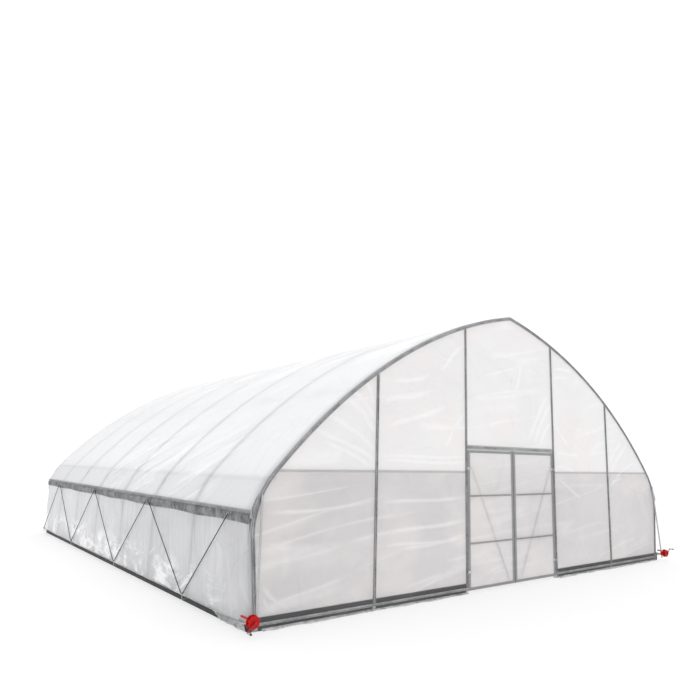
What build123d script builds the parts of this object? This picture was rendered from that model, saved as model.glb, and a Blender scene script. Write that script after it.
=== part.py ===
from build123d import *
from math import acos, asin, atan2, cos, degrees, radians, sin, tan
import os

# A film-covered tunnel greenhouse: eight arches of square tube with a pointed ridge, double doors
# in the front end wall, and side curtains that roll up on hand-cranked bars.
# Millimetres. x runs across, y from the doors to the back, z up from the ground.

# Arches, measured to the tube's middle unless said otherwise
bay = 1524.0
bays = 7
span = 9144.0  # outside to outside of the legs at the ground
tube = 60.0  # side of the square arch tube
leg_rise = 980.0  # height where the leg starts to bend
leg_splay = 86.0  # how far the leg leans out over that height
bend_radius = 982.0
rafter_slope = 49.0  # degrees from level where the eave bend ends
ridge_slope = 12.0  # degrees from level at the ridge
rafter_joint = 0.42  # share of the roof arc taken by the lower rafter
seat = 0.3  # clearance where a round or soft piece rests on another

# Purlins
purlin = 34.0
lower_purlin_back = 2.0  # degrees short of the end of the eave bend
middle_purlin_x = 3190.0
upper_purlin_x = 1620.0

# End walls
post_width = 50.0
post_depth = 50.0
door_post_x = 1113.0
outer_post_x = 2859.0
girt = 30.0
girt_height = 1745.0
header_height = 2116.0
header_rise = 70.0
board_height = 144.0
board_thick = 38.0

# Film and the channels that lock it
film = 2.0
channel_width = 34.0
channel_depth = 10.0
film_ground_gap = 3.0
door_channel_width = 26.0

# Eaves and side curtains
rail_top = 1304.0
rail_height = 90.0
rail_thick = 25.0
valance_drop = 160.0
roll = 72.0  # diameter of the bar with the film wound on it
roll_height = 120.0
roll_past_end = 60.0

# Doors
leaf_clearance = 5.0
leaf_gap = 10.0
leaf_bottom = 37.0
leaf_top_clearance = 6.0
stile = 50.0
leaf_depth = 30.0
leaf_rail = 40.0
leaf_rail_heights = (700.0, 1390.0)
brace_width = 25.0
brace_thick = 8.0
brace_foot = 80.0  # from the meeting stile to the foot of the brace
brace_top = 1870.0

# Hinges: an upright pin on the post and an eye with a strap on the leaf
hinge_heights = (300.0, 1800.0)
pin_radius = 5.0
pin_clearance = 0.05
eye_radius = 9.0
eye_height = 30.0
hinge_inset = 8.0  # from the post's inner face to the pin
hinge_forward = 16.0  # from the post's front face to the pin
strap_length = 90.0
strap_back = 2.6  # the strap's back stands this far off the leaf, over the film
strap_thick = 5.0
pin_spare = 5.0
eye_rest = 0.5

# Roll-up winders
gearbox_radius = 75.0
gearbox_thick = 70.0
gearbox_height = 150.0
gearbox_ahead = 200.0  # from the front arch to the middle of the gearbox
flange_thick = 13.0
waist_radius = 55.0  # between the flange and the cover
cover_radius = 68.0
cover_thick = 12.0
cover_slope = 6.0
boss_radius = 26.0
boss_height = 9.0
gear_ribs = 8
rib_width = 7.0
sleeve_wall = 4.0  # the sleeve that slides on the guide pole
sleeve_half_height = 38.0
sleeve_web = 14.0
guide_pole = 26.0
guide_inboard = 62.0  # from the roll bar to the foot of the guide pole
guide_foot = 60.0
guide_top_height = 1470.0
spindle_radius = 8.0
spindle_depth = 20.0
crank_arm = 120.0
crank_width = 20.0
crank_thick = 6.0
crank_clearance = 5.0
hub_radius = 15.0
hub_height = 9.0
grip_radius = 12.0
grip_neck = 8.0
grip_length = 80.0
stub_radius = 12.0
stub_length = 155.0
stub_out = 50.0
stub_up = 35.0
crank_droop = 45.0  # degrees that the left crank points below level, and the right above

# Ropes that hold the curtains in
rope = 6.0
rope_sides = 6
rope_clearance = 12.0
hook = 8.0
hook_spacing = 50.0  # between the rope's two runs at a hook
top_hook_bays = (0.28, 2.15, 4.15, 6.13)
foot_hook_bays = (1.1, 3.1, 5.1, 6.95)
hook_lip = 12.0
top_hook_drop = 69.0  # below the top of the eave rail
foot_hook_rise = 8.0  # above the middle of the roll
hook_under_roll = 25.0

# Worked out from the sizes above
length = bay * bays
half_tube = tube / 2
half_ground = span / 2 - half_tube
lean = degrees(atan2(leg_splay, leg_rise))
bend_x = half_ground + leg_splay - bend_radius * cos(radians(lean))
bend_z = leg_rise + bend_radius * sin(radians(lean))
steep, flat = radians(rafter_slope), radians(ridge_slope)
roof_radius = (bend_x + bend_radius * sin(steep)) / (sin(steep) - sin(flat))
roof_x = -roof_radius * sin(flat)
roof_z = bend_z - (roof_radius - bend_radius) * cos(steep)
apex = roof_z + roof_radius * cos(flat)

rail_bottom = rail_top - rail_height
leg_outside = bend_radius + half_tube
rail_inside = bend_x + leg_outside * cos(asin((rail_bottom - bend_z) / leg_outside)) + seat
rail_outside = rail_inside + rail_thick
board_inside = half_ground + (half_tube / cos(radians(lean))) + board_height * tan(radians(lean)) + seat
board_outside = board_inside + board_thick
roll_x = board_outside + seat + roll / 2
curtain_top = rail_outside + film + 2 * seat
curtain_foot = roll_x + roll / 2 + seat
valance_x = curtain_top + film + seat
eave_channel_x = valance_x + film + seat
rope_x = curtain_foot + film + rope_clearance + rope / 2

front_reach = gearbox_ahead + gearbox_thick / 2 + crank_clearance + crank_thick + grip_length
back_reach = roll_past_end
front = (front_reach - back_reach - length) / 2
back = front + length
post_front = front - half_tube
film_front = post_front - seat - film
channel_front = film_front - seat - channel_depth
arch_places = [front + bay * i for i in range(bays + 1)]

jamb = door_post_x - post_width / 2
header_bottom = header_height - header_rise / 2
leaf_edge = jamb - leaf_clearance
leaf_top = header_bottom - leaf_top_clearance
hinge_x = jamb + hinge_inset
hinge_y = post_front - hinge_forward
film_edge = hinge_x + eye_radius + 2 * seat


def both(*pieces):
    """The pieces and their mirror images on the left of the tunnel."""
    return [*pieces, *[mirror(piece, about=Plane.YZ) for piece in pieces]]


def save(node, *pieces):
    solids = [solid for piece in pieces for solid in piece.solids()]
    shape = solids[0] if len(solids) == 1 else Compound(children=solids)
    export_step(shape, f"parts/{node}.step")


def block(x0, x1, y0, y1, z0, z1):
    middle = ((x0 + x1) / 2, (y0 + y1) / 2, (z0 + z1) / 2)
    return Pos(*middle) * Box(x1 - x0, y1 - y0, z1 - z0)


def rod(start, end, radius, sides=0):
    """A bar between two points, round unless it is given a number of sides."""
    line = Vector(*end) - Vector(*start)
    section = RegularPolygon(radius, sides) if sides else Circle(radius)
    return extrude(Plane(origin=start, z_dir=line) * section, amount=line.length)


def upright(face, y0, y1):
    """An outline drawn across the tunnel, x to the right and z up, given its depth along y."""
    plane = Plane(origin=(0, y0, 0), x_dir=(1, 0, 0), z_dir=(0, -1, 0))
    return extrude(plane * face, amount=y1 - y0, dir=(0, 1, 0))


def ridge_angle(offset):
    """Where the roof arc, moved out by the offset, meets the middle of the tunnel."""
    return degrees(acos(-roof_x / (roof_radius + offset)))


def arch_edges(offset, foot=0.0):
    """Right half of the arch's curve from the ground to the ridge, moved out by the offset."""
    slant = radians(lean)
    foot_point = (half_ground + offset / cos(slant) + foot * tan(slant), foot)
    bend = CenterArc((bend_x, bend_z), bend_radius + offset, -lean, lean + 90 - rafter_slope)
    start = 90 - rafter_slope
    roof = CenterArc((roof_x, roof_z), roof_radius + offset, start, ridge_angle(offset) - start)
    return [Line(foot_point, bend @ 0), bend, roof]


def end_face(offset, foot=0.0):
    """Right half of an end wall's outline."""
    edges = arch_edges(offset, foot)
    ridge = edges[-1] @ 1
    floor = Line((0, foot), edges[0] @ 0)
    return make_face([floor, *edges, Line(ridge, (0, foot))])


def arch_band(inner, outer, foot=0.0):
    """Right half of a strip that follows the arch between two offsets."""
    inside, outside = arch_edges(inner, foot), arch_edges(outer, foot)
    bottom = Line(inside[0] @ 0, outside[0] @ 0)
    ridge = Line(inside[-1] @ 1, outside[-1] @ 1)
    return make_face([*inside, ridge, *outside, bottom])


def arc_strip(inner, outer):
    """The face between two arcs that start and end side by side."""
    return make_face([inner, Line(inner @ 1, outer @ 1), outer, Line(outer @ 0, inner @ 0)])


def roof_place(x, offset):
    """Point under or over the roof arc whose foot on the arc is at x."""
    angle = acos((x - roof_x) / roof_radius)
    radius = roof_radius + offset
    return roof_x + radius * cos(angle), roof_z + radius * sin(angle)


def lengthwise(x, z, radius):
    """A straight bar along the whole tunnel."""
    return rod((x, front - half_tube, z), (x, back + half_tube, z), radius)


def make_arches():
    """Each half arch is a leg, a bend at the eave and two rafters, mitred at the ridge."""
    start = 90 - rafter_slope
    split = start + (90 - ridge_slope - start) * rafter_joint
    sides = (-half_tube, half_tube)
    feet = [arch_edges(offset)[0] for offset in sides]
    leg = make_face([feet[0], Line(feet[0] @ 1, feet[1] @ 1), feet[1], Line(feet[1] @ 0, feet[0] @ 0)])
    bend = arc_strip(*[arch_edges(offset)[1] for offset in sides])
    roof_centre = (roof_x, roof_z)
    lowers = [CenterArc(roof_centre, roof_radius + side, start, split - start) for side in sides]
    uppers = [CenterArc(roof_centre, roof_radius + side, split, ridge_angle(side) - split) for side in sides]
    faces = {
        "leg_tubes": leg,
        "eave_bends": bend,
        "lower_rafters": arc_strip(*lowers),
        "upper_rafters": arc_strip(*uppers),
    }
    for node, face in faces.items():
        save(node, *both(*[upright(face, y - half_tube, y + half_tube) for y in arch_places]))


def make_purlins():
    inside = half_tube + purlin / 2 + seat
    ridge_z = apex - inside / cos(flat)
    save("ridge_purlin", lengthwise(0, ridge_z, purlin / 2))
    for node, x in (("upper_purlins", upper_purlin_x), ("middle_purlins", middle_purlin_x)):
        save(node, *both(lengthwise(*roof_place(x, -inside), purlin / 2)))
    angle = radians(90 - rafter_slope - lower_purlin_back)
    radius = bend_radius - inside
    x, z = bend_x + radius * cos(angle), bend_z + radius * sin(angle)
    save("lower_purlins", *both(lengthwise(x, z, purlin / 2)))


def end_pieces(y0, y1, post_xs, open_between):
    """Posts, girts and base boards of one end wall, as three lists of its right half.

    open_between is the half width at the middle that girts and boards leave free.
    """
    inside = end_face(-(half_tube + seat))
    posts = []
    for x in post_xs:
        strip = Pos(x, apex / 2) * Rectangle(post_width, 2 * apex)
        posts.append(upright(strip & inside, y0, y1))
    solid_inside = upright(inside, y0 - tube, y1 + tube)
    middle = (y0 + y1) / 2
    ends = [open_between]
    for x in post_xs:
        ends += [x - post_width / 2, x + post_width / 2]
    ends.append(span / 2)
    girts, boards = [], []
    for x0, x1 in zip(ends[::2], ends[1::2]):
        if x1 - x0 < post_width / 2:
            continue
        low, high = girt_height - girt / 2, girt_height + girt / 2
        bar = block(x0, x1, middle - girt / 2, middle + girt / 2, low, high)
        plank = block(x0, x1, y0, y0 + board_thick, 0, board_height)
        girts.append(bar & solid_inside)
        boards.append(plank & solid_inside)
    return posts, girts, boards


def make_end_walls():
    y0, y1 = post_front, post_front + post_depth
    xs = (door_post_x, outer_post_x)
    posts, girts, boards = end_pieces(y0, y1, xs, jamb)
    save("door_posts", *both(posts[0]))
    save("outer_posts", *both(posts[1]))
    save("front_girts", *both(*girts))
    save("front_base_boards", *both(*boards))
    save("door_header", block(-jamb, jamb, y0, y1, header_bottom, header_bottom + header_rise))
    # The back wall is the front one turned about, with the middle filled in.
    posts, girts, boards = end_pieces(y0, y1, xs, 0.0)
    turned = {}
    for name, pieces in (("rear_posts", posts), ("rear_girts", girts), ("rear_base_boards", boards)):
        turned[name] = [Pos(0, front + back, 0) * mirror(piece, about=Plane.XZ) for piece in both(*pieces)]
        if name == "rear_posts":
            save(name, *turned[name])
        else:
            middle = min(turned[name], key=lambda piece: abs(piece.center().X))
            rest = [piece for piece in turned[name] if abs(piece.center().X) > jamb]
            save(name, middle + mirror(middle, about=Plane.YZ), *rest)


def make_films():
    wall = end_face(half_tube, film_ground_gap)
    beside = Pos(film_edge + span / 2, apex / 2) * Rectangle(span, 2 * apex)
    over_bottom = header_height - channel_width / 2
    over = Pos(film_edge / 2, over_bottom + apex) * Rectangle(film_edge, 2 * apex)
    y0, y1 = film_front, film_front + film
    right = upright(wall & beside, y0, y1)
    save("front_film_right", right)
    save("front_film_left", mirror(right, about=Plane.YZ))
    half_over = upright(wall & over, y0, y1)
    save("front_film_over_door", half_over + mirror(half_over, about=Plane.YZ))
    half_rear = upright(wall, back + half_tube + seat, back + half_tube + seat + film)
    save("rear_film", half_rear + mirror(half_rear, about=Plane.YZ))
    half_roof = upright(roof_profile(), front - half_tube, back + half_tube)
    save("roof_film", half_roof + mirror(half_roof, about=Plane.YZ))


def roof_line(extra):
    """Right half of the roof film from the foot of the eave rail to the ridge."""
    radius = bend_radius + half_tube + seat + extra
    corner_x, corner_z = rail_outside + seat + extra, rail_top
    dx, dz = corner_x - bend_x, corner_z - bend_z
    reach = (dx**2 + dz**2) ** 0.5
    leave = degrees(atan2(dz, dx) + acos(radius / reach))
    offset = radius - bend_radius
    start = 90 - rafter_slope
    bend = CenterArc((bend_x, bend_z), radius, leave, start - leave)
    roof = CenterArc((roof_x, roof_z), roof_radius + offset, start, ridge_angle(offset) - start)
    flap = Line((corner_x, rail_bottom), (corner_x, corner_z))
    return [flap, Line(flap @ 1, bend @ 0), bend, roof]


def roof_profile():
    inside, outside = roof_line(0.0), roof_line(film)
    bottom = Line(inside[0] @ 0, outside[0] @ 0)
    ridge = Line(inside[-1] @ 1, outside[-1] @ 1)
    return make_face([*inside, ridge, *outside, bottom])


def make_channels():
    """Aluminium channels that lock the film to the end arches, posts, boards and header."""
    half = channel_width / 2
    y0, y1 = channel_front, channel_front + channel_depth
    arch = upright(arch_band(-half, half), y0, y1)
    whole = arch + mirror(arch, about=Plane.YZ)
    save("front_arch_channel", whole)
    save("rear_arch_channel", Pos(0, front + back, 0) * mirror(whole, about=Plane.XZ))
    inside = upright(end_face(-half - seat), y0, y1)
    base_z = board_height / 2
    base_top = base_z + half + seat
    door_post_channel = block(film_edge, film_edge + door_channel_width, y0, y1, base_top, 2 * apex)
    outer = block(outer_post_x - half, outer_post_x + half, y0, y1, base_top, 2 * apex)
    base = block(film_edge, span / 2, y0, y1, base_z - half, base_z + half)
    header_z = header_height
    header = block(-film_edge + seat, film_edge - seat, y0, y1, header_z - half, header_z + half)
    pieces = both(door_post_channel & inside, outer & inside, base & inside)
    save("front_lock_channels", header, *pieces)
    rear = []
    for x in (door_post_x, outer_post_x):
        rear.append(block(x - half, x + half, y0, y1, base_top, 2 * apex) & inside)
    rear_base = block(-span / 2, span / 2, y0, y1, base_z - half, base_z + half)
    both_inside = inside + mirror(inside, about=Plane.YZ)
    rear = [*both(*rear), rear_base & both_inside]
    save("rear_lock_channels", *[Pos(0, front + back, 0) * mirror(piece, about=Plane.XZ) for piece in rear])


def make_sides():
    y0, y1 = front - half_tube, back + half_tube
    rail = block(rail_inside, rail_outside, y0, y1, rail_bottom, rail_top)
    board = block(board_inside, board_outside, y0, y1, 0, board_height)
    # The curtain falls straight behind the valance, then leans out to pass the roll.
    line = ((curtain_top, rail_top), (curtain_top, rail_top - valance_drop), (curtain_foot, roll_height))
    outer_line = [(x + film, z) for x, z in reversed(line)]
    curtain = upright(make_face(Polyline(*line, *outer_line, close=True)), y0, y1)
    valance = block(valance_x, valance_x + film, y0, y1, rail_top - valance_drop, rail_top)
    channel = block(
        eave_channel_x, eave_channel_x + channel_depth, y0, y1, rail_top - channel_width, rail_top
    )
    bar_start = (roll_x, front - gearbox_ahead + gearbox_thick / 2, roll_height)
    bar = rod(bar_start, (roll_x, back + roll_past_end, roll_height), roll / 2)
    pieces = {
        "eave_rail": rail,
        "base_board": board,
        "side_curtain": curtain,
        "valance": valance,
        "eave_channel": channel,
        "roll_bar": bar,
    }
    for name, piece in pieces.items():
        save("right_" + name, piece)
        save("left_" + name, mirror(piece, about=Plane.YZ))


def hinge_bore(z):
    return Pos(hinge_x, hinge_y, z) * Cylinder(pin_radius + pin_clearance, 2 * eye_height)


def make_doors():
    y0, y1 = post_front, post_front + leaf_depth
    x0, x1 = leaf_gap / 2, leaf_edge
    frame = block(x0, x1, y0, y1, leaf_bottom, leaf_top)
    levels = [leaf_bottom, *leaf_rail_heights, leaf_top]
    for i, (low, high) in enumerate(zip(levels, levels[1:])):
        bottom = low + (leaf_rail if i == 0 else leaf_rail / 2)
        top = high - (leaf_rail if i == len(levels) - 2 else leaf_rail / 2)
        frame -= block(x0 + stile, x1 - stile, y0 - 1, y1 + 1, bottom, top)
    foot, head = (x0 + stile + brace_foot, leaf_bottom + leaf_rail), (x1 - stile, brace_top)
    brace_line = Vector(head[0] - foot[0], head[1] - foot[1])
    tilt = degrees(atan2(brace_line.Y, brace_line.X))
    middle = Pos((foot[0] + head[0]) / 2, (foot[1] + head[1]) / 2) * Rot(0, 0, tilt)
    bar = upright(middle * Rectangle(brace_line.length + stile / 2, brace_width), y1 - brace_thick, y1)
    right_frame = frame + bar
    skin = block(x0, x1, y0 - seat - film, y0 - seat, leaf_bottom, leaf_top)
    eyes, pins = [], []
    for z in hinge_heights:
        eye = Pos(hinge_x, hinge_y, z) * Cylinder(eye_radius, eye_height)
        strap_y = post_front - strap_back
        strap = block(
            hinge_x - strap_length, hinge_x, strap_y - strap_thick, strap_y, z - eye_height / 2, z + eye_height / 2
        )
        eyes.append(eye + strap - hinge_bore(z))
        arm_z = z - eye_height / 2 - eye_rest - pin_radius
        arm_x0, arm_x1 = hinge_x - pin_radius, hinge_x + pin_radius
        arm = block(arm_x0, arm_x1, hinge_y, post_front, arm_z - pin_radius, arm_z + pin_radius)
        pin_top = z + eye_height / 2 + pin_spare
        pin = rod((hinge_x, hinge_y, arm_z - pin_radius), (hinge_x, hinge_y, pin_top), pin_radius)
        pins.append(arm + pin)
    save("right_door_frame", right_frame)
    save("left_door_frame", mirror(right_frame, about=Plane.YZ))
    save("right_door_film", skin)
    save("left_door_film", mirror(skin, about=Plane.YZ))
    save("right_door_hinges", *eyes)
    save("left_door_hinges", *[mirror(eye, about=Plane.YZ) for eye in eyes])
    save("hinge_pins", *both(*pins))


def lathe(points):
    """A solid turned about a lengthwise axis, from pairs of radius and distance along it."""
    outline = make_face(Polyline((0, points[0][1]), *points, (0, points[-1][1]), close=True))
    return revolve(outline, axis=Axis.Y)


def gear_housing():
    """The housing about its own axis, its front at zero: boss, cover, ribbed waist and flange."""
    cover_front = boss_height
    cover_back = boss_height + cover_thick
    flange_front = gearbox_thick - flange_thick
    housing = lathe(
        [
            (boss_radius - cover_slope / 2, 0),
            (boss_radius, cover_front),
            (cover_radius - cover_slope, cover_front),
            (cover_radius, cover_front + cover_slope),
            (cover_radius, cover_back),
            (waist_radius, cover_back),
            (waist_radius, flange_front),
            (gearbox_radius, flange_front),
            (gearbox_radius, gearbox_thick),
        ]
    )
    rib_length = cover_radius - waist_radius + cover_slope
    rib = Box(rib_length, flange_front - cover_back + cover_slope, rib_width)
    middle = (cover_back + flange_front) / 2
    for i in range(gear_ribs):
        turn = Rot(0, 360 * (i + 0.5) / gear_ribs, 0)
        housing += turn * Pos(cover_radius - rib_length / 2, middle, 0) * rib
    bore = Cylinder(spindle_radius + pin_clearance, spindle_depth + crank_clearance)
    return housing - Pos(0, (spindle_depth + crank_clearance) / 2, 0) * Rot(90, 0, 0) * bore


def make_winders():
    """Each winder is a gearbox with a sleeve on its guide pole, a tube for the brake bar and a crank."""
    gear_y = front - gearbox_ahead
    gear_front, gear_back = gear_y - gearbox_thick / 2, gear_y + gearbox_thick / 2
    bend_angle = asin((guide_top_height - bend_z) / bend_radius)
    top_x = bend_x + bend_radius * cos(bend_angle)
    sleeve_radius = guide_pole / 2 + seat + sleeve_wall
    top = Vector(top_x, channel_front - seat - guide_pole / 2, guide_top_height)
    foot = Vector(roll_x - guide_inboard, gear_back + seat + guide_pole / 2, guide_foot)
    pole = rod(foot, top, guide_pole / 2)
    save("right_guide_pole", pole)
    save("left_guide_pole", mirror(pole, about=Plane.YZ))

    housing = Pos(roll_x, gear_front, gearbox_height) * gear_housing()
    along = (top - foot).normalized()
    middle = foot + along * ((gearbox_height - guide_foot) / along.Z)
    low, high = middle - along * sleeve_half_height, middle + along * sleeve_half_height
    web_x0, web_x1 = middle.X - sleeve_web / 2, middle.X + sleeve_web / 2
    web_z0, web_z1 = gearbox_height - sleeve_half_height * 0.8, gearbox_height + sleeve_half_height * 0.8
    housing += rod(low, high, sleeve_radius)
    housing += block(web_x0, web_x1, gear_back - flange_thick, middle.Y, web_z0, web_z1)
    housing -= rod(low - along * tube, high + along * tube, guide_pole / 2 + seat)
    stub_x, stub_z = roll_x + stub_out, gearbox_height + stub_up
    stub_end = gear_back + stub_length
    housing += rod((stub_x, gear_back - flange_thick, stub_z), (stub_x, stub_end, stub_z), stub_radius)
    save("right_gearbox", housing)
    save("left_gearbox", mirror(housing, about=Plane.YZ))

    for name, droop in (("right_crank", crank_droop), ("left_crank", -crank_droop)):
        crank = make_crank(droop, gear_front)
        save(name, crank if name == "right_crank" else mirror(crank, about=Plane.YZ))


def make_crank(angle, gear_front):
    """A crank on the right, its arm pointing outward and up by the angle in degrees."""
    arm_back = gear_front - crank_clearance
    arm_front = arm_back - crank_thick
    arm = Pos(crank_arm / 2, 0) * SlotCenterToCenter(crank_arm, crank_width)
    turned = Pos(roll_x, gearbox_height) * Rot(0, 0, angle) * arm
    crank = upright(turned, arm_front, arm_back)
    spindle_end = gear_front + spindle_depth
    crank += rod((roll_x, arm_front, gearbox_height), (roll_x, spindle_end, gearbox_height), spindle_radius)
    tip_x = roll_x + crank_arm * cos(radians(angle))
    tip_z = gearbox_height + crank_arm * sin(radians(angle))
    crank += rod((roll_x, arm_front - hub_height, gearbox_height), (roll_x, arm_back, gearbox_height), hub_radius)
    grip = lathe(
        [
            (grip_neck, 0),
            (grip_neck, -grip_length * 0.12),
            (grip_radius * 0.85, -grip_length * 0.16),
            (grip_radius, -grip_length * 0.5),
            (grip_radius, -grip_length * 0.9),
            (grip_neck, -grip_length),
        ]
    )
    return crank + Pos(tip_x, arm_front, tip_z) * grip


def make_hooks(tops, feet, top_z, foot_z):
    """Bent flat bars: the rope lies over the top ones and is drawn up under the foot ones."""
    half, clear = hook / 2, rope / 2 + seat
    inner_x, outer_x = rope_x - clear, rope_x + clear
    hooks = []
    for y in tops:
        wall = valance_x + film
        bar = block(wall, outer_x + hook, y - half, y + half, top_z - clear - hook, top_z - clear)
        lip_top = top_z - clear + hook_lip
        lip = block(outer_x, outer_x + hook, y - half, y + half, top_z - clear - hook, lip_top)
        hooks.append(bar + lip)
    low_z = roll_height - roll / 2 - hook_under_roll
    for y in feet:
        bar = block(board_outside, inner_x, y - half, y + half, low_z - hook, low_z)
        top = foot_z + clear + hook
        stem = block(inner_x - hook, inner_x, y - half, y + half, low_z - hook, top)
        over = block(inner_x - hook, outer_x + hook, y - half, y + half, top - hook, top)
        lip = block(outer_x, outer_x + hook, y - half, y + half, top - hook_lip, top)
        hooks.append(bar + stem + over + lip)
    return hooks


def make_ropes():
    """One rope a side, pulled tight from hook to hook."""
    top_z, foot_z = rail_top - top_hook_drop, roll_height + foot_hook_rise
    tops = [front + bay * place for place in top_hook_bays]
    feet = [front + bay * place for place in foot_hook_bays]
    half = hook_spacing / 2
    points = []
    for top, foot in zip(tops, feet):
        points += [(rope_x, top - half, top_z), (rope_x, top + half, top_z)]
        points += [(rope_x, foot - half, foot_z), (rope_x, foot + half, foot_z)]
    # The rope starts at its first hook and ends at its last.
    points[0] = (rope_x, tops[0] - hook / 2, top_z)
    points[-1] = (rope_x, feet[-1] + hook / 2, foot_z)
    line = None
    for start, end in zip(points, points[1:]):
        run = rod(start, end, rope / 2, rope_sides)
        line = run if line is None else line + run
    save("right_rope", line)
    save("left_rope", mirror(line, about=Plane.YZ))
    save("rope_hooks", *both(*make_hooks(tops, feet, top_z, foot_z)))


os.makedirs("parts", exist_ok=True)
make_arches()
make_purlins()
make_end_walls()
make_films()
make_channels()
make_sides()
make_doors()
make_winders()
make_ropes()
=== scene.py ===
import math

import bmesh
import bpy
import numpy as np
from mathutils import Matrix, Vector


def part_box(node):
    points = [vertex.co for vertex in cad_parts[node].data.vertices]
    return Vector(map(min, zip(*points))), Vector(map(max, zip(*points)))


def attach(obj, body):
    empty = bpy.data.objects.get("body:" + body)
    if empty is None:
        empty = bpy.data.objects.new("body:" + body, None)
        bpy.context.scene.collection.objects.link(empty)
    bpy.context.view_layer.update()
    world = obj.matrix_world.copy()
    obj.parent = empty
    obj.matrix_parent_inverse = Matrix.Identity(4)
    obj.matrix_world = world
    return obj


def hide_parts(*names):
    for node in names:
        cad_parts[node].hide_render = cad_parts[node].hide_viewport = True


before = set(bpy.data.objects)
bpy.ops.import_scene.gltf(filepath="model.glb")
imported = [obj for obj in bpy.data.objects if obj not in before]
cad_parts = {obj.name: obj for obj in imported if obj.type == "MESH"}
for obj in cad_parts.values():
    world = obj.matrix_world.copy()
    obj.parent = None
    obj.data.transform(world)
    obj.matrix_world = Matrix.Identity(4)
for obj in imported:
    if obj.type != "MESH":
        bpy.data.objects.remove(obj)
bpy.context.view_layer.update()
print("frame loaded")

# The tunnel's sizes in metres and degrees, as the frame has them
tube = 0.06
arch = {
    "halfGround": 4.542,
    "legRise": 0.98,
    "legSplay": 0.086,
    "bendRadius": 0.982,
    "rafterSlope": 49.0,
    "ridgeSlope": 12.0,
    "bays": 7,
}
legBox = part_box("leg_tubes")
firstArch = legBox[0].y + tube / 2
lastArch = legBox[1].y - tube / 2
bay = (lastArch - firstArch) / arch["bays"]
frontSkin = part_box("front_film_right")[0].y
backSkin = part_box("rear_film")[1].y
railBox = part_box("right_eave_rail")
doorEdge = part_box("front_film_right")[0].x
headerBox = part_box("door_header")
sides = (("left", -1.0), ("right", 1.0))

# Where the end walls' uprights, rails and base channels are, from the middle and the ground
wallFrame = {
    "outerPost": 2.859,
    "doorPost": 1.113,
    "girt": 1.745,
    "header": 2.116,
    "boardTop": 0.14,
    "channelZ": 0.072,
    "channelEnd": 4.52042,
}


# The camera, worked out from the photograph's straight lines
view = {
    "place": (-7.9045, -11.3897, 1.8548),
    "ahead": (0.6181, 0.7685, 0.1654),
    "right": (0.7771, -0.6291, 0.0188),
    "lens": 30.48,
    "shift": (-0.0331, 0.0192),
}


def makeCamera():
    ahead = Vector(view["ahead"]).normalized()
    right = Vector(view["right"])
    right = (right - ahead * right.dot(ahead)).normalized()
    up = right.cross(ahead)
    camera = bpy.data.objects.new("camera", bpy.data.cameras.new("camera"))
    bpy.context.scene.collection.objects.link(camera)
    turn = Matrix((right, up, -ahead)).transposed()
    camera.matrix_world = Matrix.Translation(view["place"]) @ turn.to_4x4()
    camera.data.lens = view["lens"]
    camera.data.shift_x, camera.data.shift_y = view["shift"]
    camera.data.clip_end = 200
    bpy.context.scene.camera = camera


makeCamera()
print("camera placed")


# Shader maths: a Field is a socket that can be added, multiplied and compared
class Field:
    def __init__(self, finish, socket):
        self.finish = finish
        self.socket = socket

    def op(self, operation, *values):
        return self.finish.node("ShaderNodeMath", {"operation": operation}, *values)

    def __add__(self, other):
        return self.op("ADD", self, other)

    def __radd__(self, other):
        return self.op("ADD", other, self)

    def __sub__(self, other):
        return self.op("SUBTRACT", self, other)

    def __rsub__(self, other):
        return self.op("SUBTRACT", other, self)

    def __mul__(self, other):
        return self.op("MULTIPLY", self, other)

    def __rmul__(self, other):
        return self.op("MULTIPLY", other, self)

    def __pow__(self, other):
        return self.op("POWER", self, other)

    def __abs__(self):
        return self.op("ABSOLUTE", self)

    def largest(self, other):
        return self.op("MAXIMUM", self, other)

    def smallest(self, other):
        return self.op("MINIMUM", self, other)

    def nearestOf(self, start, step):  # distance to the nearest of start, start + step and so on
        return abs(self.op("WRAP", self - start, step / 2, -step / 2))

    def fade(self, near, far, atNear=1.0, atFar=0.0):  # runs smoothly from one value to another
        names = {"Value": self, "From Min": near, "From Max": far, "To Min": atNear, "To Max": atFar}
        return self.finish.node("ShaderNodeMapRange", {"interpolation_type": "SMOOTHSTEP"}, **names)


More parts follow.
